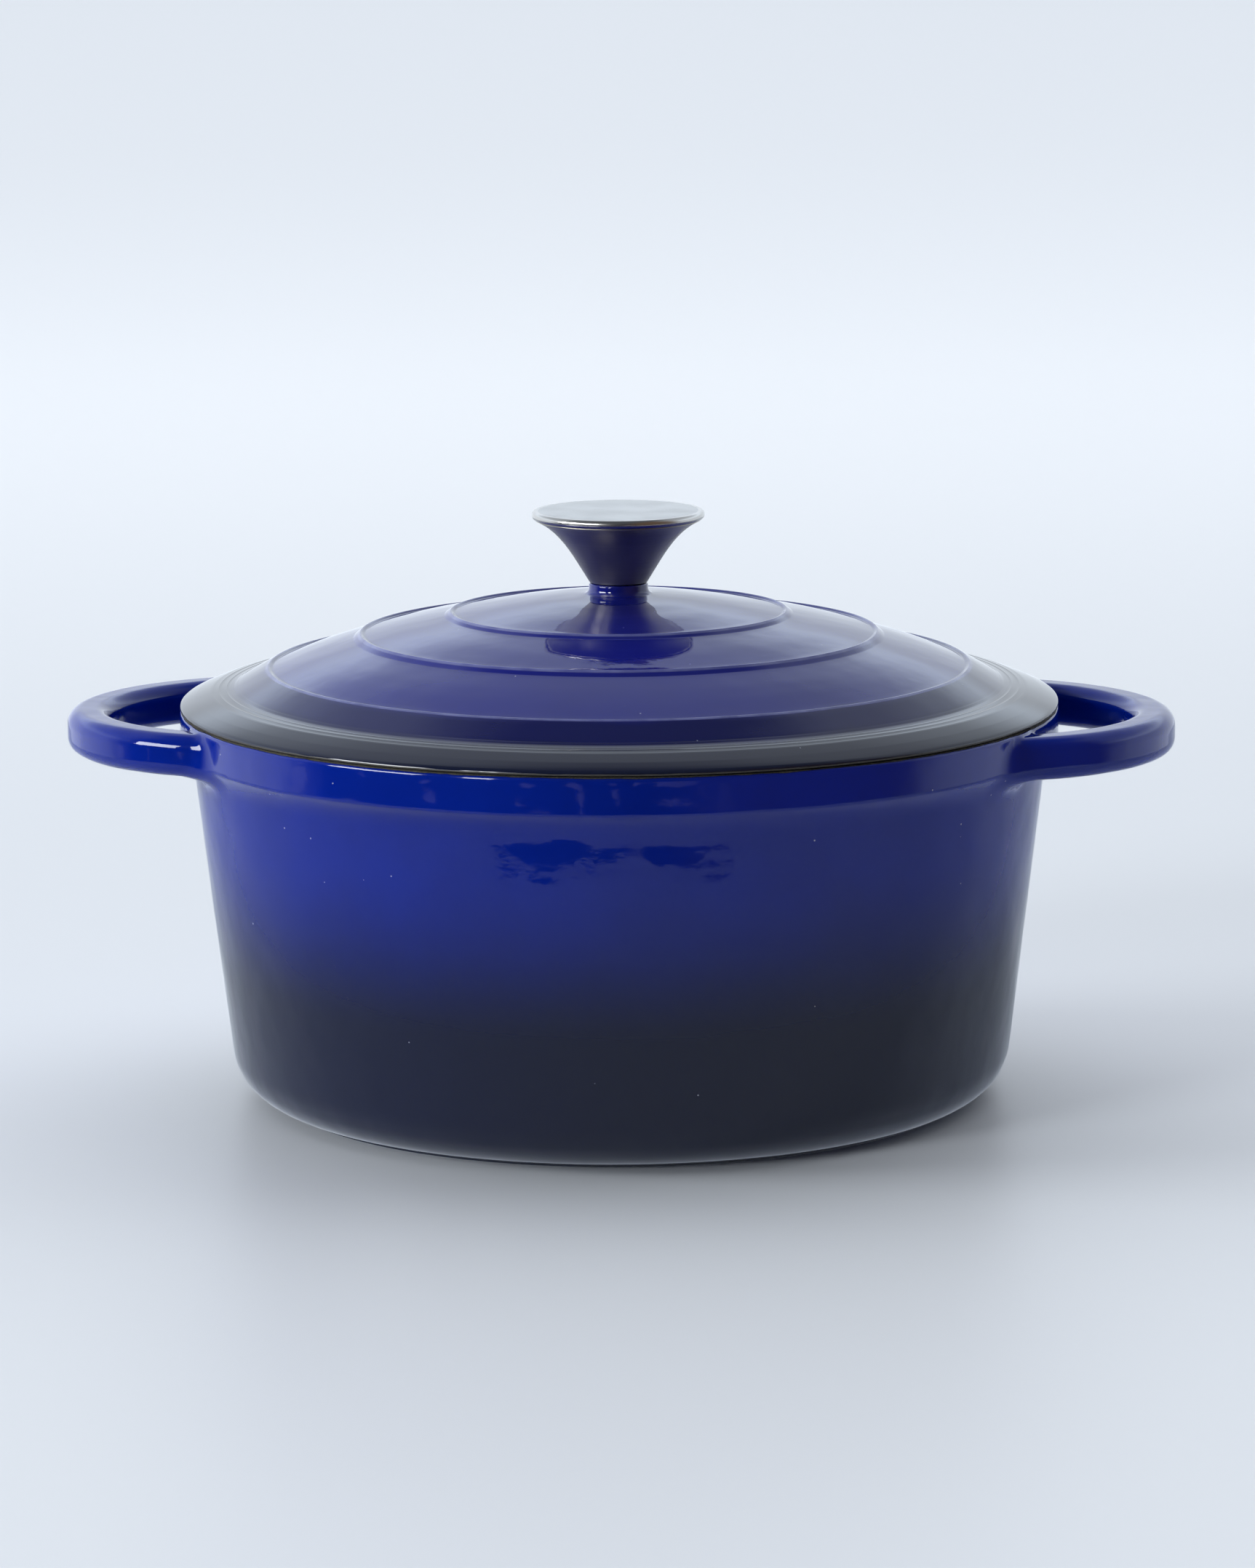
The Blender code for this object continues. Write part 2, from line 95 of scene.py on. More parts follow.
def rounded(corners, step_deg=11.0):
    """A path through corners given as (radius, height, rounding), with each corner turned into an arc.

    A nearly straight corner stays a point, and an arc takes less than half of each of its two sides.
    """
    path = []
    for index, (x, y, radius) in enumerate(corners):
        here = np.array((x, y))
        if index in (0, len(corners) - 1) or radius <= 0:
            path.append((x, y))
            continue
        back = np.array(corners[index - 1][:2]) - here
        ahead = np.array(corners[index + 1][:2]) - here
        back_length, ahead_length = np.linalg.norm(back), np.linalg.norm(ahead)
        back, ahead = back / back_length, ahead / ahead_length
        turn = math.pi - math.acos(max(-1.0, min(1.0, float(back @ ahead))))
        if turn < 0.002:
            path.append((x, y))
            continue
        reach = min(radius * math.tan(turn / 2), 0.49 * back_length, 0.49 * ahead_length)
        radius = reach / math.tan(turn / 2)
        middle = here + (back + ahead) / np.linalg.norm(back + ahead) * radius / math.cos(turn / 2)
        first = here + back * reach - middle
        last = here + ahead * reach - middle
        count = max(2, int(math.degrees(turn) / step_deg) + 2)
        for t in np.linspace(0.0, 1.0, count):
            ray = (first * math.sin((1 - t) * turn) + last * math.sin(t * turn)) / math.sin(turn)
            path.append(tuple(middle + ray))
    return path


def run_along(points):
    """The distance along a path at each of its points."""
    return np.concatenate([[0.0], np.cumsum(np.linalg.norm(np.diff(points, axis=0), axis=1))])


def refined(path, longest):
    """The path with its long stretches cut into equal pieces no longer than a length."""
    points = [path[0]]
    for start, end in zip(path, path[1:]):
        length = math.dist(start, end)
        if length < 1e-6:
            continue
        count = max(1, math.ceil(length / longest))
        for step in range(1, count + 1):
            t = step / count
            points.append((start[0] + (end[0] - start[0]) * t, start[1] + (end[1] - start[1]) * t))
    return points


def mesh_piece(name, vertices, faces, zones=None):
    """A smooth-shaded object from vertices in millimetres. Zones give each face its material slot."""
    mesh = bpy.data.meshes.new(name)
    mesh.from_pydata([tuple(v) for v in np.asarray(vertices) * MM], [], faces)
    if zones is not None:
        mesh.polygons.foreach_set("material_index", zones)
    mesh.shade_smooth()
    mesh.validate()
    piece = bpy.data.objects.new(name, mesh)
    bpy.context.scene.collection.objects.link(piece)
    return piece


def lathe(profile, steps, closed=False):
    """Vertices and faces of a profile turned round Z. The profile runs down its outer side."""
    angles = np.linspace(0.0, math.tau, steps, endpoint=False)
    vertices, rings = [], []
    for radius, height in profile:
        start = len(vertices)
        if radius < 1e-6:
            vertices.append((0.0, 0.0, height))
            rings.append([start] * steps)
        else:
            vertices += [(radius * math.cos(a), radius * math.sin(a), height) for a in angles]
            rings.append(list(range(start, start + steps)))
    pairs = list(zip(rings, rings[1:]))
    if closed:
        pairs.append((rings[-1], rings[0]))
    faces, owners = [], []
    for row, (upper, lower) in enumerate(pairs):
        for k in range(steps):
            after = (k + 1) % steps
            loop = [upper[k], lower[k], lower[after], upper[after]]
            face = [v for i, v in enumerate(loop) if v not in loop[:i]]
            if len(face) > 2:
                faces.append(face)
                owners.append(row)
    return np.array(vertices), faces, owners


def ripple(vertices, faces, strength, wavelength, seed, keep):
    """Sinks each vertex by smooth noise, as in a casting: by the strength at most, times keep(vertex)."""
    work = bpy.data.meshes.new("ripple")
    work.from_pydata([tuple(v) for v in vertices], [], faces)
    normals = np.zeros(len(vertices) * 3, np.float32)
    work.vertices.foreach_get("normal", normals)
    bpy.data.meshes.remove(work)
    normals = normals.reshape(-1, 3)
    shift = Vector((seed * 7.3, seed * 3.1, seed * 5.7))
    depth = np.zeros(len(vertices))
    for index, vertex in enumerate(vertices):
        sample = Vector(vertex) / wavelength + shift
        wave = 0.65 * noise.noise(sample) + 0.35 * noise.noise(sample * 2.3 + shift)
        depth[index] = strength * (0.5 + 0.5 * max(-1.0, min(1.0, 1.6 * wave))) * keep(vertex)
    return vertices - normals * depth[:, None]


# ---------------------------------------------------------------- pot

WALL_AT_TABLE = 116.9  # the outer wall's radius, carried down to the table
WALL_TAPER = 0.119  # its growth per millimetre of height
WALL_THICKNESS = 4.2
BAND_BOTTOM = 108.7
BAND_EDGE = 1.8  # rounding of the band's lower edge
BAND_FILLET = 11.0  # rounding between the band and the wall
RIM_ROUND = 1.4
CORNER_ROUND = 15.7
FOOT_HEIGHT = 0.6
FOOT_OUTER = 105.5
FOOT_INNER = 94.0
FOOT_RECESS = 0.9
FLOOR_TOP = 5.2
INNER_CORNER = 14.0
RIM_INNER_ROUND = 1.0
POT_STEPS = 360
POT_ROW = 2.8  # longest step along the pot's profile
POT_RIPPLE = 0.22
POT_RIPPLE_LENGTH = 26.0

HANDLE_BEND = 55.0  # radius of the middle of its half ring
HANDLE_WIDTH = 13.4
HANDLE_HEIGHT = 13.0
HANDLE_ROUND = 4.6
HANDLE_TOP = 118.0
HANDLE_CENTRE = HANDLE_REACH - HANDLE_WIDTH / 2 - HANDLE_BEND
HANDLE_MIDDLE = HANDLE_TOP - HANDLE_HEIGHT / 2

PATCH_COLUMNS = (13, 34)  # the quarter pot's columns, a degree apart, that a handle's root takes
PATCH_BOTTOM = 92.5
ROOT_STATION = 54.0  # where, in degrees round its bend, the handle is free of the fillet
ROOT_RINGS = 18
ROOT_SAMPLES = 24
RELAX_ROUNDS = 14
SETTLE_ROUNDS = 2
SETTLE_REACH = 1.5  # the longest move of one round
BAR_RINGS = 27
CORNER_POINTS = 25  # on each rounded corner of the handle's section, before it is divided
WELD = 0.02
FILLETS = (  # (height, rounding) of the fillet between the pot and a handle, from its underside up
    (HANDLE_TOP - HANDLE_HEIGHT, 6.5), (HANDLE_MIDDLE, 4.6), (HANDLE_TOP - 1.5, 2.4), (HANDLE_TOP + 0.4, 1.1),
)


def wall_radius(height):
    """The outer wall's radius at a height."""
    return WALL_AT_TABLE + WALL_TAPER * height


def pot_outside():
    """The pot's outer profile, from the flat of its rim down to the middle of its underside."""
    lean = math.atan(WALL_TAPER)
    lean_deg = math.degrees(lean)
    radii = BAND_EDGE + BAND_FILLET
    reach = wall_radius(BAND_BOTTOM + BAND_FILLET * math.sin(lean)) - BAND_RADIUS
    reach += BAND_EDGE + BAND_FILLET * math.cos(lean)
    turn = lean + math.acos(reach / radii * math.cos(lean))
    turn_deg = math.degrees(turn)
    edge = (BAND_RADIUS - BAND_EDGE, BAND_BOTTOM)
    fillet = (edge[0] + radii * math.cos(turn), edge[1] - radii * math.sin(turn))
    corner_height = FOOT_HEIGHT + CORNER_ROUND
    corner = (wall_radius(corner_height) - CORNER_ROUND / math.cos(lean), corner_height)
    foot_deg = math.degrees(math.asin((FOOT_OUTER - corner[0]) / CORNER_ROUND)) - 90
    points = arc((BAND_RADIUS - RIM_ROUND, RIM_TOP - RIM_ROUND), RIM_ROUND, 90, 0, 6)
    points += arc(edge, BAND_EDGE, 0, -turn_deg, 7)
    points += arc(fillet, BAND_FILLET, 180 - turn_deg, 180 - lean_deg, 9)[1:]
    points += arc(corner, CORNER_ROUND, -lean_deg, foot_deg, 16)
    foot = [(FOOT_OUTER, FOOT_HEIGHT, 0.0), (FOOT_OUTER, 0.0, 0.35), (FOOT_INNER, 0.0, 0.5)]
    foot += [(FOOT_INNER - 1.2, FOOT_RECESS, 0.6), (0.0, FOOT_RECESS, 0.0)]
    return points[:-1] + rounded(foot)


def pot_inside():
    """The pot's inner profile, from the middle of its floor up to the flat of its rim."""
    slant = (wall_radius(RIM_TOP) - WALL_THICKNESS, RIM_TOP, RIM_INNER_ROUND)
    low = (wall_radius(FLOOR_TOP) - WALL_THICKNESS, FLOOR_TOP, INNER_CORNER)
    rim_end = (BAND_RADIUS - RIM_ROUND - 0.6, RIM_TOP, 0.0)
    return rounded([(0.0, FLOOR_TOP, 0.0), low, slant, rim_end], step_deg=7.0)


def path_distance(path, points):
    """Signed distance from points (r, z) to a closed path, negative inside it."""
    start = np.asarray(path)
    edge = np.roll(start, -1, axis=0) - start
    to_point = points[:, None, :] - start[None, :, :]
    along = np.clip((to_point * edge).sum(2) / np.maximum((edge ** 2).sum(1), 1e-12), 0, 1)
    gap = np.linalg.norm(to_point - along[:, :, None] * edge, axis=2).min(1)
    rises = (start[:, 1] > points[:, 1:2]) != (np.roll(start[:, 1], -1) > points[:, 1:2])
    slope = np.where(np.abs(edge[:, 1]) < 1e-12, 1e-12, edge[:, 1])
    cross = start[:, 0] + to_point[:, :, 1] / slope * edge[:, 0]
    inside = (rises & (points[:, 0:1] < cross)).sum(1) % 2 == 1
    return np.where(inside, -gap, gap)


class RootShape:
    """The pot's outer surface joined to a handle's bar by a fillet, as a signed distance."""

    def __init__(self, outside):
        self.outside = [(0.0, RIM_TOP)] + list(outside)

    def value(self, p):
        """Distance from points to the joined shape. The fillet grows from a handle's top to its underside."""
        pot = path_distance(self.outside, np.stack([np.hypot(p[:, 0], p[:, 1]), p[:, 2]], axis=1))
        across = np.abs(np.hypot(p[:, 0] - HANDLE_CENTRE, p[:, 1]) - HANDLE_BEND)
        up = np.abs(p[:, 2] - HANDLE_MIDDLE)
        q = np.stack([across - HANDLE_WIDTH / 2, up - HANDLE_HEIGHT / 2], axis=1) + HANDLE_ROUND
        bar = np.linalg.norm(np.maximum(q, 0), axis=1) + np.minimum(q.max(1), 0) - HANDLE_ROUND
        fillet = np.interp(p[:, 2], *zip(*FILLETS))
        corner = np.hypot(np.maximum(fillet - pot, 0), np.maximum(fillet - bar, 0))
        joined = np.maximum(fillet, np.minimum(pot, bar)) - corner
        return np.maximum(joined, p[:, 2] - RIM_TOP)

    def settle(self, p):
        """Points moved onto the surface by Newton's method, in rounds that move them only a little."""
        step = 0.01
        for _ in range(SETTLE_ROUNDS):
            here = self.value(p)
            slope = np.stack([(self.value(p + step * axis) - here) / step for axis in np.eye(3)], axis=1)
            steepness = np.maximum((slope ** 2).sum(1), 0.05)
            p = p - np.clip(here / steepness, -SETTLE_REACH, SETTLE_REACH)[:, None] * slope
        return p


def bar_section(side_counts):
    """The handle's rounded section as (across, up).

    The counts are the numbers of points on its right, top, left and bottom sides, from one corner's middle
    to the next.
    """
    half_w, half_h = HANDLE_WIDTH / 2, HANDLE_HEIGHT / 2
    outline = []
    for x, y, start in ((1, -1, -90), (1, 1, 0), (-1, 1, 90), (-1, -1, 180)):
        centre = (x * (half_w - HANDLE_ROUND), y * (half_h - HANDLE_ROUND))
        outline.append(np.array(arc(centre, HANDLE_ROUND, start, start + 90, CORNER_POINTS)))
    middle = CORNER_POINTS // 2
    section = []
    for side, count in enumerate(side_counts):
        path = np.concatenate([outline[side][middle:], outline[(side + 1) % 4][:middle + 1]])
        length = run_along(path)
        wanted = np.linspace(0.0, length[-1], count, endpoint=False)
        section += [(np.interp(w, length, path[:, 0]), np.interp(w, length, path[:, 1])) for w in wanted]
    return np.array(section)


def patch_border(rows, columns):
    """(row, column) of the border of a block of the pot's grid, going round from its lower right corner.

    The numbers of steps on the right, top, left and bottom sides come with it.
    """
    (top, bottom), (left, right) = rows, columns
    border = [(row, right) for row in range(bottom, top, -1)]
    border += [(top, column) for column in range(right, left, -1)]
    border += [(row, left) for row in range(top, bottom)]
    border += [(bottom, column) for column in range(left, right)]
    return border, (bottom - top, right - left, bottom - top, right - left)


def root_line(path, side, start, end):
    """A line from a (row, angle) of the pot's grid along its wall to the handle, and on along the handle.

    The side is the part of the pot's path that is its outer wall, and the end is (across, up) in the section.
    """
    (row, angle), (across, up) = start, end
    rho, height = HANDLE_BEND + across, HANDLE_MIDDLE + up
    length = run_along(path)
    wall = np.interp(height, path[side, 1][::-1], path[side, 0][::-1])
    cosine = (wall ** 2 - HANDLE_CENTRE ** 2 - rho ** 2) / (2 * HANDLE_CENTRE * rho)
    meet = math.acos(cosine)
    contact_angle = math.atan2(rho * math.sin(meet), HANDLE_CENTRE + rho * cosine)
    contact_length = np.interp(-height, -path[side, 1], length[side])
    line = []
    for t in np.linspace(0.0, 1.0, ROOT_SAMPLES, endpoint=False):
        at = length[row] + (contact_length - length[row]) * t
        turn = angle + (contact_angle - angle) * t
        r, z = np.interp(at, length, path[:, 0]), np.interp(at, length, path[:, 1])
        line.append((r * math.cos(turn), r * math.sin(turn), z))
    for turn in np.linspace(meet, math.radians(ROOT_STATION), ROOT_SAMPLES):
        line.append((HANDLE_CENTRE + rho * math.cos(turn), rho * math.sin(turn), height))
    return np.array(line)


def root_rings(shape, outside, border, section):
    """Rings of points on the filleted surface, from the border of the pot's grid to the handle's section."""
    path = np.array(outside)
    side = slice(0, int(np.argmax(path[:, 1] < FOOT_HEIGHT + CORNER_ROUND)))
    lines = []
    for start, end in zip(border, section):
        line = root_line(path, side, start, end)
        run = run_along(line)
        wanted = np.linspace(0.0, run[-1], ROOT_RINGS + 1)
        lines.append(np.stack([np.interp(wanted, run, line[:, axis]) for axis in range(3)], axis=1))
    rings = np.array(lines).transpose(1, 0, 2)
    for _ in range(RELAX_ROUNDS):
        middle = rings[1:-1]
        around = (np.roll(middle, 1, axis=1) + np.roll(middle, -1, axis=1) + rings[2:] + rings[:-2]) / 4
        moved = (middle + around) / 2
        rings[1:-1] = shape.settle(moved.reshape(-1, 3)).reshape(moved.shape)
    return rings


def quarter_pot():
    """Vertices, faces and zones of the quarter of the pot where X and Y are positive, with half a handle."""
    inside = refined(pot_inside(), POT_ROW)
    outside = refined(pot_outside(), POT_ROW)
    profile = inside + outside
    columns = POT_STEPS // 4
    angles = np.linspace(0.0, math.pi / 2, columns + 1)
    r, z = (line[:, None] for line in np.array(profile).T)
    grid = np.stack([r * np.cos(angles), r * np.sin(angles), z + 0 * angles], axis=2)
    vertices = grid.reshape(-1, 3)
    first = len(inside)
    last = first + int(np.argmax(np.array(outside)[:, 1] < PATCH_BOTTOM))
    rim_row = first - 2  # on the flat of the rim, where both enamels end in bare iron
    faces, zones = [], []

    def spot(row, column):
        return row * (columns + 1) + column

    for row in range(len(profile) - 1):
        for column in range(columns):
            in_patch = first <= row < last and PATCH_COLUMNS[0] <= column < PATCH_COLUMNS[1]
            if not in_patch:
                left, right = [(spot(row, side), spot(row + 1, side)) for side in (column, column + 1)]
                faces.append([left[0], left[1], right[1], right[0]])
                zones.append(OUTER if row >= rim_row else INNER)
    border, counts = patch_border((first, last), PATCH_COLUMNS)
    section = bar_section(counts)
    shape = RootShape(pot_outside())
    rings = root_rings(shape, outside, [(row - first, angles[column]) for row, column in border], section)
    bar = []
    rho, height = HANDLE_BEND + section[:, 0], HANDLE_MIDDLE + section[:, 1]
    for turn in np.radians(np.linspace(ROOT_STATION, 0.0, BAR_RINGS + 1))[1:]:
        bar.append(np.stack([HANDLE_CENTRE + rho * math.cos(turn), rho * math.sin(turn), height], axis=1))
    loops = np.concatenate([rings[1:], np.array(bar)])
    count = len(border)
    indices = [[spot(row, column) for row, column in border]]
    for number in range(len(loops)):
        start = len(vertices) + number * count
        indices.append(list(range(start, start + count)))
    vertices = np.concatenate([vertices, loops.reshape(-1, 3)])
    for near, far in zip(indices, indices[1:]):
        for k in range(count):
            after = (k + 1) % count
            faces.append([near[k], far[k], far[after], near[after]])
            zones.append(OUTER)
    return vertices, faces, zones


def build_pot(outer, inner):
    """The pot as one closed mesh: its quarter mirrored twice, welded and slightly rippled."""
    vertices, faces, zones = quarter_pot()
    work = bmesh.new()
    for side_x in (1, -1):
        for side_y in (1, -1):
            corners = [work.verts.new(v * (side_x, side_y, 1)) for v in vertices]
            for face, zone in zip(faces, zones):
                loop = face if side_x * side_y > 0 else face[::-1]
                work.faces.new([corners[v] for v in loop]).material_index = zone
    bmesh.ops.remove_doubles(work, verts=work.verts, dist=WELD)
    bmesh.ops.recalc_face_normals(work, faces=work.faces)
    work.verts.index_update()
    points = np.array([v.co for v in work.verts])
    loops = [[v.index for v in face.verts] for face in work.faces]
    slots = [face.material_index for face in work.faces]
    work.free()

    def keep(v):
        """All of the ripple on the outside above the foot, fading over 3 mm below the rim."""
        outside = math.hypot(v[0], v[1]) > wall_radius(v[2]) - 1.0 and v[2] > 1.5
        return min(1.0, max(0.0, (RIM_TOP - v[2]) / 3.0)) if outside else 0.0

    points = ripple(points, loops, POT_RIPPLE, POT_RIPPLE_LENGTH, 1.0, keep)
    piece = mesh_piece("pot_casting", points, loops, slots)
    piece.data.materials.append(outer)
    piece.data.materials.append(inner)
    return piece


# ---------------------------------------------------------------- lid

LID_STEPS = 360
RINGS = (50.7, 78.1, 106.0)  # radii of the crests of the three raised rings
LID_EDGE = 2.0  # rounding of the flange's outer edge
LID_RIPPLE = 0.07
LID_RIPPLE_LENGTH = 30.0


def lid_top():
    """The lid's upper profile: boss, three steps with their rings, and the flange with two fine ridges."""
    corners = [
        (3.4, BOSS_TOP, 0.0), (8.9, BOSS_TOP, 0.6), (9.05, 152.5, 3.6),
        (20.0, 151.75, 60.0), (34.0, 149.75, 90.0),
        (49.6, 147.0, 0.8), (RINGS[0], 147.70, 0.6), (52.7, 146.25, 1.5),
        (64.9, 143.70, 90.0),
        (77.0, 140.70, 0.8), (RINGS[1], 141.40, 0.6), (80.3, 139.55, 1.7),
        (92.5, 135.75, 90.0),
        (104.8, 130.95, 0.8), (RINGS[2], 131.50, 0.7),
        (116.8, 125.35, 9.0),
        (118.3, 125.14, 0.0), (118.7, 125.20, 0.2), (119.1, 125.03, 0.0),
        (120.6, 124.83, 0.0), (121.1, 124.88, 0.2), (121.6, 124.69, 0.0),
        (123.4, 124.40, 5.0), (128.0, 122.70, 6.0),
        (LID_RADIUS - 0.9, 121.00, LID_EDGE), (LID_RADIUS, 120.40, LID_EDGE / 2),
        (LID_RADIUS, LID_SEAT, 0.4), (LID_RADIUS - 3.0, LID_SEAT, 0.0),
    ]
    return rounded(corners)


def lid_under():
    """The lid's underside, from the seat in past the skirt to the screw hole."""
    corners = [
        (LID_RADIUS - 3.0, LID_SEAT, 0.0), (125.6, LID_SEAT, 0.4),
        (125.2, SKIRT_BOTTOM, 1.4), (121.4, SKIRT_BOTTOM, 1.4), (121.0, 120.0, 1.2),
        (103.8, 126.8, 4.0), (82.2, 135.2, 4.0), (76.0, 136.6, 4.0),
        (54.7, 142.0, 4.0), (48.6, 142.9, 4.0), (13.2, 148.15, 1.5),
        (9.9, 147.2, 1.0), (9.0, SCREW_PAD, 0.4), (3.4, SCREW_PAD, 0.0),
    ]
    return rounded(corners)


def build_lid(enamel, lining):
    """The lid as one turned casting, lightly rippled on its upper side."""
    top = refined(lid_top(), 3.0)
    under = refined(lid_under(), 5.0)
    vertices, faces, owners = lathe(top + under[1:], LID_STEPS, closed=True)

    def keep(v):
        """The dome and the inner flange, without the boss."""
        return 1.0 if v[2] > 123.0 and math.hypot(v[0], v[1]) > 12.0 else 0.0

    vertices = ripple(vertices, faces, LID_RIPPLE, LID_RIPPLE_LENGTH, 2.0, keep)
    zones = [OUTER if row < len(top) - 1 else INNER for row in owners]
    piece = mesh_piece("lid_casting", vertices, faces, zones)
    piece.data.materials.append(enamel)
    piece.data.materials.append(lining)
    return piece


# ---------------------------------------------------------------- knob

KNOB_STEPS = 160


def bezier(curve, count):
    """Points on a cubic Bezier curve."""
    t = np.linspace(0.0, 1.0, count)[:, None]
    a, b, c, d = (np.array(p) for p in curve)
    points = (1 - t) ** 3 * a + 3 * t * (1 - t) ** 2 * b + 3 * t * t * (1 - t) * c + t ** 3 * d
    return [tuple(p) for p in points]


def build_knob_shell(steel):
    """The flared shell with a thin turned-over foot, its lip tucked under the cap's rim."""
    lip_radius, lip_height = KNOB_LIP_RADIUS - 0.6, KNOB_LIP - 0.4
    curve = ((8.9, KNOB_BASE + 0.25), (13.7, 163.9), (17.4, 171.4), (lip_radius, lip_height))
    outer = bezier(curve, 36)[::-1]
    inner = [(r - 1.1, z + 0.5) for r, z in outer]
    lip = [(lip_radius - 2.0, lip_height + 0.15), (lip_radius - 0.15, lip_height + 0.15)]
    foot = [(8.75, KNOB_BASE), (7.95, KNOB_BASE), (7.8, KNOB_BASE + 0.3)]
    profile = lip + outer + foot + inner[::-1][2:-1]
    vertices, faces, _ = lathe(profile, KNOB_STEPS, closed=True)
    piece = mesh_piece("knob_cone", vertices, faces)
    piece.data.materials.append(steel)
    return piece


def build_knob_cap(satin, bright):
    """The satin disc with a fine turned line inside its bright bull-nosed edge."""
    half = (CAP_TOP - KNOB_LIP + 0.2) / 2
    nose = arc((CAP_RADIUS - half, CAP_TOP - half), half, 78, -90, 15)
    top = [(0.0, CAP_TOP - 0.05), (8.0, CAP_TOP - 0.05), (16.0, CAP_TOP - 0.04), (24.2, CAP_TOP - 0.05)]
    edge = [(24.4, CAP_TOP - 0.08), (24.55, CAP_TOP - 0.04)]
    bottom = CAP_TOP - 2 * half
    under = [(23.4, bottom), (22.9, bottom + 0.5), (22.6, bottom + 0.5)]
    under += [(21.0, bottom - 1.1), (0.0, bottom - 1.1)]
    profile = top + edge + nose + under
    vertices, faces, owners = lathe(profile, KNOB_STEPS)
    zones = [0 if row < len(top) - 1 else 1 for row in owners]
    piece = mesh_piece("knob_disc", vertices, faces, zones)
    piece.data.materials.append(satin)
    piece.data.materials.append(bright)
    return piece


# ---------------------------------------------------------------- materials


class Graph:
    """A short way to write a node tree."""

    def __init__(self, tree, coordinates):
        self.tree = tree
        self.place = self.node("ShaderNodeTexCoord").outputs[coordinates]

    def node(self, kind, **settings):
        made = self.tree.nodes.new(kind)
        for key, value in settings.items():
            setattr(made, key, value)
        return made

    def link(self, source, target):
        self.tree.links.new(source, target)

    def feed(self, socket, value):
        """Link an output, or set a plain value."""
        if isinstance(value, bpy.types.NodeSocket):
            self.link(value, socket)
        else:
            socket.default_value = value

    def math(self, operation, a, b=0.0, c=0.0):
        made = self.node("ShaderNodeMath", operation=operation)
        for socket, value in zip(made.inputs, (a, b, c)):
            self.feed(socket, value)
        return made.outputs[0]

    def span(self, value, low, high, out_low=0.0, out_high=1.0, smooth=True):
        """Map a range onto another, clamped."""
        made = self.node("ShaderNodeMapRange", interpolation_type="SMOOTHSTEP" if smooth else "LINEAR")
        for socket, number in zip(made.inputs, (value, low, high, out_low, out_high)):
            self.feed(socket, number)
        return made.outputs[0]

    def noise(self, scale, detail=2.0, rough=0.5):
        """Noise with a scale in features per metre."""
        made = self.node("ShaderNodeTexNoise")
        self.link(self.place, made.inputs["Vector"])
        made.inputs["Scale"].default_value = scale
        made.inputs["Detail"].default_value = detail
        made.inputs["Roughness"].default_value = rough
        return made.outputs[0]

    def split(self):
        """The place's X, Y and Z."""
        made = self.node("ShaderNodeSeparateXYZ")
        self.link(self.place, made.inputs[0])
        return made.outputs

    def mix(self, factor, a, b):
        """Mix two colours."""
        made = self.node("ShaderNodeMix", data_type="RGBA")
        self.feed(made.inputs[0], factor)
        for socket, value in ((made.inputs[6], a), (made.inputs[7], b)):
            self.feed(socket, (*value, 1.0) if isinstance(value, tuple) else value)
        return made.outputs[2]


class Nodes(Graph):
    """A material's node tree. Its places are in metres in the shared frame."""

    def __init__(self, name):
        self.material = bpy.data.materials.new(name)
        self.material.use_nodes = True
        super().__init__(self.material.node_tree, "Object")
        self.shader = self.tree.nodes["Principled BSDF"]

    def axes(self):
        """Height, and distance from the Z axis."""
        x, y, z = self.split()
        flat = self.math("SQRT", self.math("ADD", self.math("MULTIPLY", x, x), self.math("MULTIPLY", y, y)))
        return z, flat

    def wander(self, value, scale, detail, width):
        """A value that noise moves up and down within a width, in metres."""
        drift = self.math("MULTIPLY_ADD", self.noise(scale, detail), width, -width / 2)
        return self.math("ADD", value, drift)

    def bump(self, height, distance, base=None, strength=1.0):
        """A normal from a height that is scaled by a distance in metres, on top of a base normal."""
        made = self.node("ShaderNodeBump")
        self.feed(made.inputs["Strength"], strength)
        made.inputs["Distance"].default_value = distance
        self.link(height, made.inputs["Height"])
        if base is not None:
            self.link(base, made.inputs["Normal"])
        return made.outputs[0]

    def finish(self, **sockets):
        """Set or link the shader's sockets by name, with underscores for spaces."""
        for key, value in sockets.items():
            socket = self.shader.inputs[key.replace("_", " ")]
            self.feed(socket, (*value, 1.0) if isinstance(value, tuple) else value)
        return self.material


# Colours, as linear RGB.
COBALT = (0.0006, 0.0115, 0.195)
COBALT_DEEP = (0.0006, 0.0105, 0.178)
LID_COBALT = (0.0060, 0.0090, 0.145)
LID_COBALT_DEEP = (0.0056, 0.0085, 0.132)
# the lighter tone of the rings' crests: partly thinner glaze, partly a painted highlight
CREST_GLAZE_AND_HIGHLIGHT = (0.105, 0.115, 0.260)
CHARCOAL = (0.0018, 0.0042, 0.0230)
FLANGE_NAVY = (0.0038, 0.0058, 0.0600)
FLANGE_BLACK = (0.0035, 0.0058, 0.0210)
DUST = (0.45, 0.47, 0.55)
CREAM = (0.72, 0.68, 0.57)
CREAM_DEEP = (0.66, 0.61, 0.50)
CREAM_FLECK = (0.16, 0.13, 0.10)
BARE_IRON = (0.085, 0.078, 0.055)
RIM_IRON_DARK = (0.030, 0.027, 0.020)
SEAT_IRON = (0.05, 0.045, 0.034)
SEAT_IRON_DARK = (0.018, 0.016, 0.013)
RUBBER = (0.020, 0.020, 0.021)
RUBBER_PALE = (0.035, 0.035, 0.036)
FLOOR_FRONT = (0.56, 0.58, 0.61)
FLOOR_BACK = (0.80, 0.82, 0.85)
COUNTER_FRONT = (0.74, 0.77, 0.81)

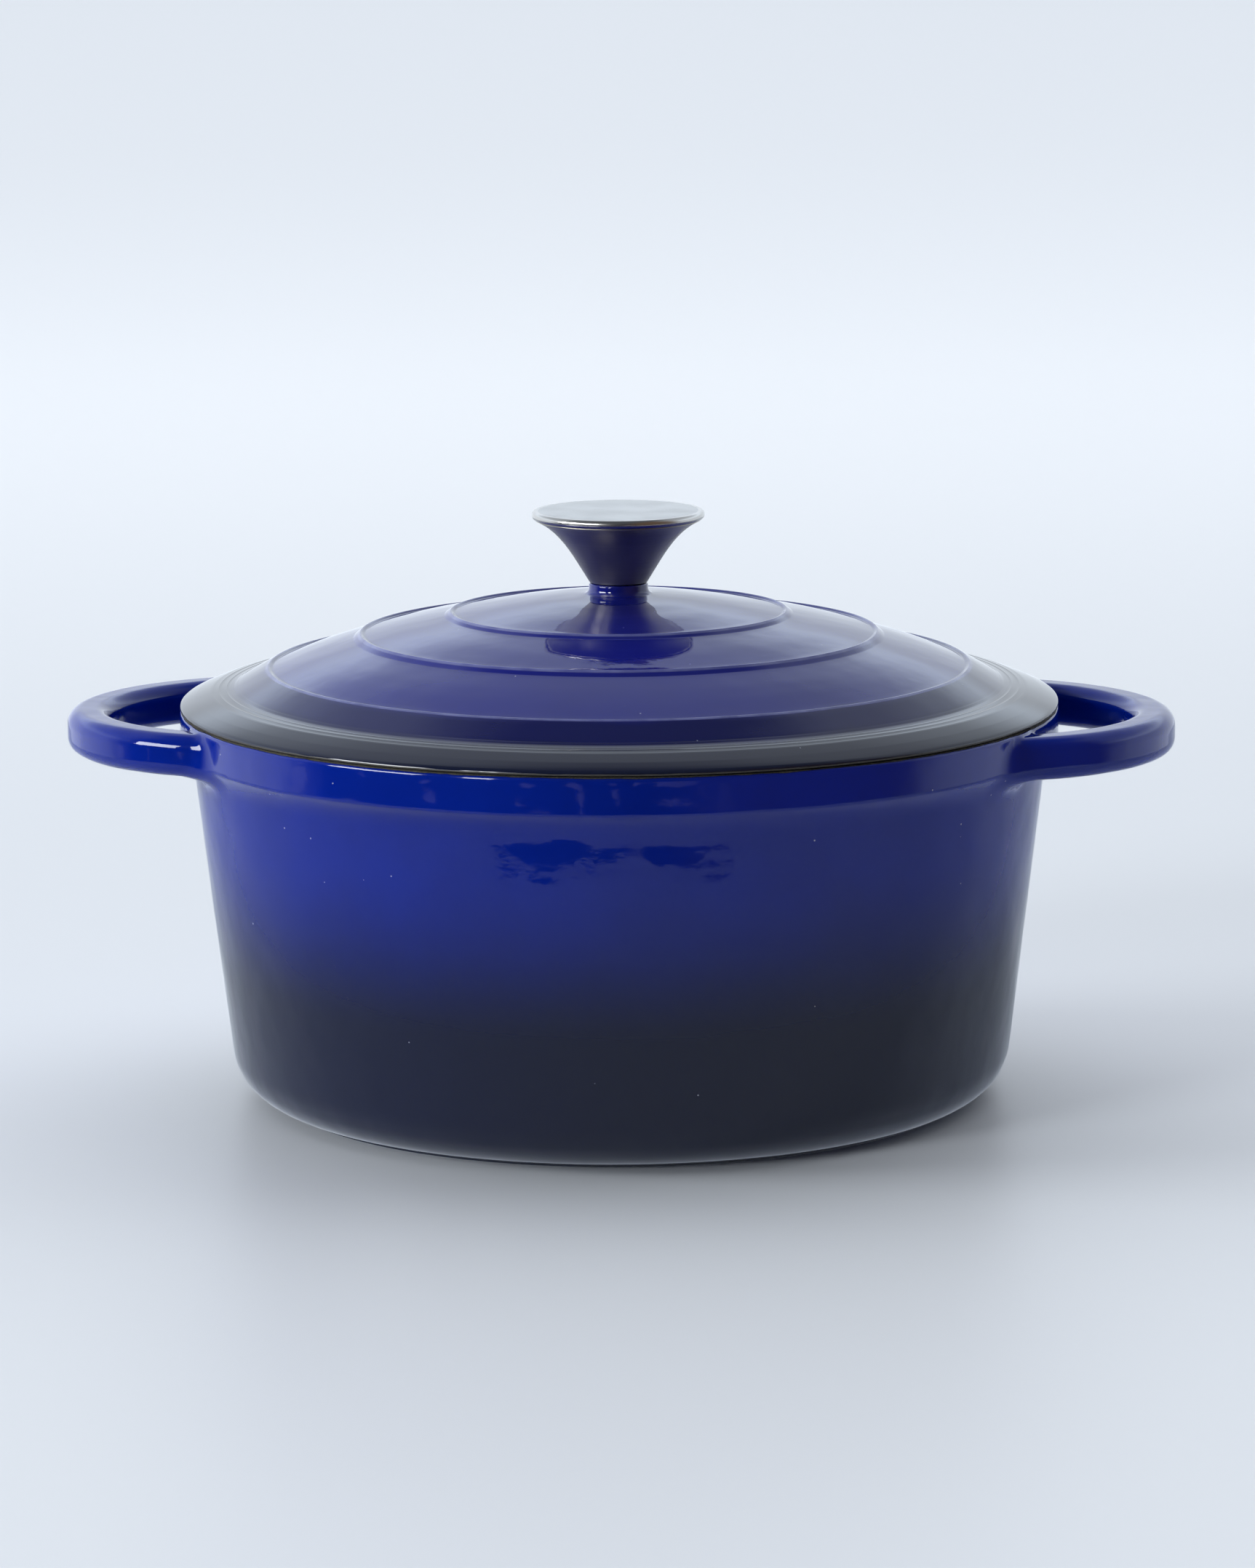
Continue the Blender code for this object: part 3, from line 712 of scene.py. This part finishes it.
# Where one glaze turns into the next, in metres above the table or from the axis.
CHARCOAL_TO_COBALT = (0.038, 0.090)
COBALT_TO_NAVY = (0.1035, 0.1085)
NAVY_TO_BLACK = (0.1135, 0.1205)
CREST_GLAZE_AND_HIGHLIGHT_REACH = (0.0009, 0.00045)  # distances from a ring's crest where its lighter line, thinner glaze with a painted highlight, ends and is full
BARE_SEAT_INSIDE = 0.1235  # the inner radius of the bare iron on the rim and the seat
CALM_FLANGE = (0.106, 0.120, 0.6, 0.10)  # the bumps' strength falls from 0.6 to 0.1 between these radii
TROUGH_START = (0.112, 0.117)  # the flange's fine lines come in between these radii
TROUGH_END = (0.125, 0.121)  # and go out between these, from the outside in
IRON_GRAIN = 1500.0  # features per metre


def specks(n, scale, size):
    """Small round flecks scattered over the surface, as a mask. One cell in 14 holds a fleck."""
    cells = n.node("ShaderNodeTexVoronoi")
    n.link(n.place, cells.inputs["Vector"])
    cells.inputs["Scale"].default_value = scale
    near = n.math("LESS_THAN", cells.outputs["Distance"], size)
    chance = n.node("ShaderNodeSeparateColor")
    n.link(cells.outputs["Color"], chance.inputs[0])
    return n.math("MULTIPLY", near, n.math("GREATER_THAN", chance.outputs[0], 0.93))


def dusted(n, glaze, amount):
    """A glaze with a few specks of dust."""
    return n.mix(n.math("MULTIPLY", specks(n, 240.0, 0.06), amount), glaze, DUST)


def glaze_bump(n, strength=1.0):
    """The slow roll, fine orange peel and pinholes of fired enamel."""
    roll = n.bump(n.noise(55.0, 1.5), 0.00035, None, strength)
    peel = n.bump(n.noise(420.0, 2.0), 0.000018, roll, strength)
    return n.bump(specks(n, 260.0, 0.10), -0.0001, peel, 0.6)


def pot_enamel():
    """Cobalt glaze that fades to charcoal down the wall, with the bare iron rim above it."""
    n = Nodes("pot_enamel_outside")
    height, _ = n.axes()
    fade = n.span(n.wander(height, 26.0, 3.0, 0.006), *CHARCOAL_TO_COBALT)
    mottle = n.mix(n.span(n.noise(38.0, 3.0, 0.6), 0.35, 0.7), COBALT, COBALT_DEEP)
    glaze = n.mix(fade, CHARCOAL, mottle)
    edge = n.wander(height, 140.0, 2.0, 0.0006)
    bare = n.span(edge, (RIM_TOP - 0.45) * MM, (RIM_TOP - 0.30) * MM, smooth=False)
    grain = n.noise(IRON_GRAIN, 3.0, 0.7)
    iron = n.mix(n.span(grain, 0.3, 0.7), BARE_IRON, RIM_IRON_DARK)
    color = n.mix(bare, dusted(n, glaze, 0.5), iron)
    rough = n.span(bare, 0.0, 1.0, 0.055, 0.62)
    lip = n.bump(bare, -0.00025, glaze_bump(n))
    normal = n.bump(n.math("MULTIPLY", grain, bare), 0.00008, lip)
    return n.finish(Base_Color=color, Roughness=rough, Normal=normal, IOR=1.42)


def lid_enamel():
    """Cobalt glaze, lighter on the rings' crests as thinner glaze with a painted highlight, going to navy and
    black on the flange, with a bare seat.
    """
    n = Nodes("lid_enamel_outside")
    height, flat = n.axes()
    # painted highlight along each ring's crest, standing also for thinner glaze there, varied a little by
    # noise
    thin = 0.0
    for ring in RINGS:
        off = n.math("ABSOLUTE", n.math("SUBTRACT", flat, (ring + 0.25) * MM))
        thin = n.math("MAXIMUM", thin, n.span(off, *CREST_GLAZE_AND_HIGHLIGHT_REACH))
    crest_glaze_and_highlight_mask = n.math("MULTIPLY", thin, n.span(n.noise(120.0, 2.0), 0.3, 0.7, 0.55, 1.0))
    mottle = n.mix(n.span(n.noise(34.0, 3.0, 0.6), 0.35, 0.7), LID_COBALT, LID_COBALT_DEEP)
    outward = n.wander(flat, 30.0, 3.0, 0.005)
    navy = n.mix(n.span(outward, *COBALT_TO_NAVY), mottle, FLANGE_NAVY)
    black = n.mix(n.span(outward, *NAVY_TO_BLACK), navy, FLANGE_BLACK)
    glaze = n.mix(crest_glaze_and_highlight_mask, black, CREST_GLAZE_AND_HIGHLIGHT)
    edge = n.wander(height, 160.0, 2.0, 0.0004)
    bare = n.span(edge, (LID_SEAT + 0.65) * MM, (LID_SEAT + 0.45) * MM, smooth=False)
    grain = n.noise(IRON_GRAIN, 3.0, 0.7)
    color = n.mix(bare, dusted(n, glaze, 0.4), n.mix(grain, SEAT_IRON, SEAT_IRON_DARK))
    calm = n.span(flat, *CALM_FLANGE)
    rough = n.span(bare, 0.0, 1.0, 0.035, 0.6)
    wave = n.node("ShaderNodeTexNoise", noise_dimensions="1D")
    n.link(flat, wave.inputs["W"])
    wave.inputs["Scale"].default_value = 420.0
    trough = n.math("MULTIPLY", n.span(flat, *TROUGH_START), n.span(flat, *TROUGH_END))
    ridges = n.bump(wave.outputs[0], 0.00020, glaze_bump(n, calm), trough)
    normal = n.bump(n.math("MULTIPLY", grain, bare), 0.00006, ridges)
    return n.finish(Base_Color=color, Roughness=rough, Normal=normal, IOR=1.5)


def lining_enamel(name, seat_height):
    """Cream inner enamel, slightly speckled, with bare iron at the seat."""
    n = Nodes(name)
    height, flat = n.axes()
    tone = n.mix(n.span(n.noise(30.0, 3.0), 0.3, 0.7), CREAM, CREAM_DEEP)
    dots = n.mix(n.math("MULTIPLY", specks(n, 210.0, 0.13), 0.5), tone, CREAM_FLECK)
    bare = n.span(n.math("ABSOLUTE", n.math("SUBTRACT", height, seat_height)), 0.0010, 0.0005, smooth=False)
    outer = n.math("MULTIPLY", bare, n.math("GREATER_THAN", flat, BARE_SEAT_INSIDE))
    grain = n.noise(IRON_GRAIN, 3.0, 0.7)
    color = n.mix(outer, dots, n.mix(grain, BARE_IRON, RIM_IRON_DARK))
    rough = n.span(outer, 0.0, 1.0, 0.10, 0.62)
    return n.finish(Base_Color=color, Roughness=rough, Normal=glaze_bump(n), IOR=1.5)


def turned_steel(name, color, rough, groove, groove_scale):
    """Steel with lathe lines round the Z axis, of a depth in metres and a number per metre."""
    n = Nodes(name)
    height, flat = n.axes()
    line = n.node("ShaderNodeCombineXYZ")
    n.link(flat, line.inputs[0])
    n.link(height, line.inputs[1])
    lines = n.node("ShaderNodeTexNoise")
    n.link(line.outputs[0], lines.inputs["Vector"])
    lines.inputs["Scale"].default_value = groove_scale
    lines.inputs["Detail"].default_value = 3.0
    fine = lines.outputs[0]
    smudges = n.span(n.noise(90.0, 3.0, 0.6), 0.3, 0.7, rough, rough + 0.08)
    roughness = n.math("ADD", smudges, n.math("MULTIPLY", fine, 0.05))
    tint = n.mix(n.span(fine, 0.3, 0.7), color, tuple(0.94 * c for c in color))
    return n.finish(Base_Color=tint, Roughness=roughness, Metallic=1.0, Normal=n.bump(fine, groove))


def gasket_rubber():
    """Matte silicone with a faint grain."""
    n = Nodes("gasket_silicone")
    grain = n.noise(1800.0, 2.0)
    tone = n.mix(grain, RUBBER, RUBBER_PALE)
    return n.finish(Base_Color=tone, Roughness=0.75, Normal=n.bump(grain, 0.00002))


def floor_paint(name, front, sheen):
    """Plain studio floor that goes from its front tone to a paler one behind the object."""
    n = Nodes(name)
    tone = n.mix(n.span(n.split()[1], 0.2, 2.2), front, FLOOR_BACK)
    return n.finish(Base_Color=tone, Roughness=0.40, Specular_IOR_Level=sheen)


# ---------------------------------------------------------------- studio

COUNTER = (  # the sheet that reflections see, with a stepped front edge like that of a laid counter
    (-0.50, -0.28), (-0.30, -0.28), (-0.30, -0.36), (-0.16, -0.36), (-0.16, -0.31), (0.0, -0.346),
    (0.16, -0.31), (0.16, -0.36), (0.30, -0.36), (0.30, -0.28), (0.50, -0.28), (0.50, 0.90), (-0.50, 0.90),
)
COUNTER_LEVEL = -0.0001
FLOOR_REACH = 14.0
FLOOR = tuple((x * FLOOR_REACH, y * FLOOR_REACH) for x, y in ((-1, -1), (1, -1), (1, 1), (-1, 1)))

# A light is (name, azimuth, width, power), in degrees, metres and watts. Windows light the object, and panes
# are seen in its glaze.
LIGHT_DISTANCE = 6.0
LIGHT_TARGET = Vector((0.0, 0.0, 0.1))
LIGHT_TALL = 1.93
WINDOW_ELEVATION = 16.0
WINDOW_SPREAD = 60.0
WINDOW_COLOR = (0.93, 0.97, 1.0)
WINDOWS = (("window_left", -86.0, 2.57, 32.5), ("window_front", -46.0, 1.71, 22.5))
PANE_ELEVATION = 17.0
PANE_COLOR = (0.95, 0.98, 1.0)
PANES = (("pane_left", -63.0, 2.89, 312.0), ("pane_front", -33.0, 0.96, 105.6))

# The room as reflections see it. A band of the wall is (rise of a ray where it starts, rise where it is full,
# colour), with a rise of 1 straight up.
ROOM_DARK = (0.025, 0.025, 0.035)
ROOM_CLUTTER = (0.50, 0.48, 0.60)
ROOM_CEILING = (0.09, 0.10, 0.12)
ROOM_RIGHT = (0.15, 0.105, 0.075)
TILES_LEFT = (1.06, 1.15, 1.26)
TILES_RIGHT = (0.86, 0.94, 1.04)
WALL_BANDS = (
    (0.22, 0.32, (1.30, 1.46, 1.66)),
    (0.32, 0.52, (0.72, 0.80, 0.90)),
    (0.50, 0.70, (0.54, 0.59, 0.66)),
    (0.77, 0.91, (0.12, 0.13, 0.16)),
)

# The softer room that lights matt surfaces.
SOFT_DARK = (0.020, 0.020, 0.025)
SOFT_ABOVE = (0.50, 0.52, 0.55)
SOFT_WALL = (2.10, 2.16, 2.24)


def floor_piece(name, outline, height, material):
    """One flat sheet of the studio floor, in metres."""
    mesh = bpy.data.meshes.new(name)
    mesh.from_pydata([(x, y, height) for x, y in outline], [], [tuple(range(len(outline)))])
    mesh.materials.append(material)
    piece = bpy.data.objects.new(name, mesh)
    bpy.context.scene.collection.objects.link(piece)
    return piece


def build_floor():
    """The pale floor, hidden from reflections, and the sheet just below it that only reflections see."""
    floor = floor_piece("floor", FLOOR, 0.0, floor_paint("studio_floor", FLOOR_FRONT, 0.2))
    floor.visible_glossy = False
    floor.visible_shadow = False
    matt = floor_paint("studio_floor_matt", COUNTER_FRONT, 0.0)
    counter = floor_piece("floor_reflected", COUNTER, COUNTER_LEVEL, matt)
    counter.visible_camera = False
    counter.visible_diffuse = False
    counter.visible_shadow = False


def area_light(name, azimuth, elevation, width, power, color):
    """A soft box aimed at the lid's height. Azimuth 0 is in front of the object and 90 to its right."""
    data = bpy.data.lights.new(name, "AREA")
    data.shape = "RECTANGLE"
    data.size, data.size_y = width, LIGHT_TALL
    data.energy = power
    data.color = color
    lamp = bpy.data.objects.new(name, data)
    a, e = math.radians(azimuth), math.radians(elevation)
    away = Vector((math.sin(a) * math.cos(e), -math.cos(a) * math.cos(e), math.sin(e)))
    lamp.location = away * LIGHT_DISTANCE + LIGHT_TARGET
    lamp.rotation_mode = "QUATERNION"
    lamp.rotation_quaternion = away.to_track_quat("Z", "Y")
    bpy.context.scene.collection.objects.link(lamp)
    return lamp


def build_lights():
    """Soft windows that reflections don't see, and panes that only reflections see."""
    for name, azimuth, width, power in WINDOWS:
        window = area_light(name, azimuth, WINDOW_ELEVATION, width, power, WINDOW_COLOR)
        window.visible_glossy = False
        window.data.spread = math.radians(WINDOW_SPREAD)
    for name, azimuth, width, power in PANES:
        pane = area_light(name, azimuth, PANE_ELEVATION, width, power, PANE_COLOR)
        pane.visible_diffuse = False


def build_world():
    """A bright wall behind and a dim room in front. Diffuse rays see a simpler, softer pair."""
    world = bpy.data.worlds.new("studio")
    world.use_nodes = True
    world.node_tree.nodes.clear()
    g = Graph(world.node_tree, "Generated")
    x, y, z = g.split()
    clutter = g.noise(9.0, 1.0)
    low = g.mix(g.span(clutter, 0.58, 0.66), ROOM_DARK, ROOM_CLUTTER)
    high = g.mix(g.span(z, 0.05, 0.80), ROOM_DARK, ROOM_CEILING)
    dim = g.mix(g.span(z, -0.04, 0.0), low, high)
    room = g.mix(g.span(x, 0.15, 0.60), dim, ROOM_RIGHT)
    wall = g.mix(g.span(x, -0.8, 0.9), TILES_LEFT, TILES_RIGHT)
    for start, full, color in WALL_BANDS:
        wall = g.mix(g.span(z, start, full), wall, color)
    seen = g.mix(g.span(y, -0.22, 0.20), room, wall)
    soft_room = g.mix(g.span(z, 0.70, 0.98), SOFT_DARK, SOFT_ABOVE)
    soft = g.mix(g.span(y, -0.10, 0.30), soft_room, SOFT_WALL)
    diffuse = g.node("ShaderNodeLightPath").outputs["Is Diffuse Ray"]
    background = g.node("ShaderNodeBackground")
    g.link(g.mix(diffuse, seen, soft), background.inputs["Color"])
    g.link(background.outputs[0], g.node("ShaderNodeOutputWorld").inputs["Surface"])
    bpy.context.scene.world = world


def build_camera():
    """The photograph's camera."""
    data = bpy.data.cameras.new("camera")
    data.lens = CAMERA_LENS
    data.sensor_width = SENSOR_WIDTH
    camera = bpy.data.objects.new("camera", data)
    stand = Matrix.Translation((CAMERA_SIDE, -CAMERA_DISTANCE, CAMERA_HEIGHT))
    tilt = Matrix.Rotation(math.radians(90 - CAMERA_PITCH), 4, "X")
    roll = Matrix.Rotation(math.radians(CAMERA_ROLL), 4, "Z")
    camera.matrix_world = Matrix.Rotation(math.radians(CAMERA_YAW), 4, "Z") @ stand @ tilt @ roll
    data.clip_start, data.clip_end = 0.05, 50.0
    bpy.context.scene.collection.objects.link(camera)
    bpy.context.scene.camera = camera


def place(piece, body, slot, *nodes):
    """Make a piece ride on a body in place of its CAD nodes."""
    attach(piece, body)
    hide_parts(*nodes)


def coat_node(name, material):
    """Give a CAD node that stays a better material."""
    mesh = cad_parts[name].data
    mesh.materials.clear()
    mesh.materials.append(material)


build_camera()
build_world()
build_floor()
build_lights()

pot_lining = lining_enamel("pot_enamel_inside", RIM_TOP * MM)
lid_lining = lining_enamel("lid_enamel_inside", LID_SEAT * MM)
place(build_pot(pot_enamel(), pot_lining), "pot", "pot_enamel", "pot_body")
place(build_lid(lid_enamel(), lid_lining), "lid", "lid_enamel", "lid")
polished = turned_steel("steel_polished", (0.54, 0.51, 0.43), 0.28, 0.000003, 2200.0)
bright = turned_steel("steel_bright", (0.56, 0.545, 0.52), 0.16, 0.000002, 2200.0)
satin = turned_steel("steel_satin", (0.64, 0.64, 0.63), 0.34, 0.000006, 3000.0)
plated = turned_steel("steel_plated", (0.62, 0.62, 0.60), 0.26, 0.000006, 3000.0)
oiled = turned_steel("steel_oiled", (0.20, 0.19, 0.18), 0.36, 0.000006, 3000.0)
place(build_knob_shell(polished), "knob", "polished_steel", "knob_shell")
place(build_knob_cap(satin, bright), "knob", "satin_steel", "knob_cap")
for node in ("knob_core", "lid_screw", "flat_washer"):
    coat_node(node, plated)
coat_node("spring_washer", oiled)
coat_node("knob_gasket", gasket_rubber())

bpy.context.scene.view_settings.view_transform = "Standard"
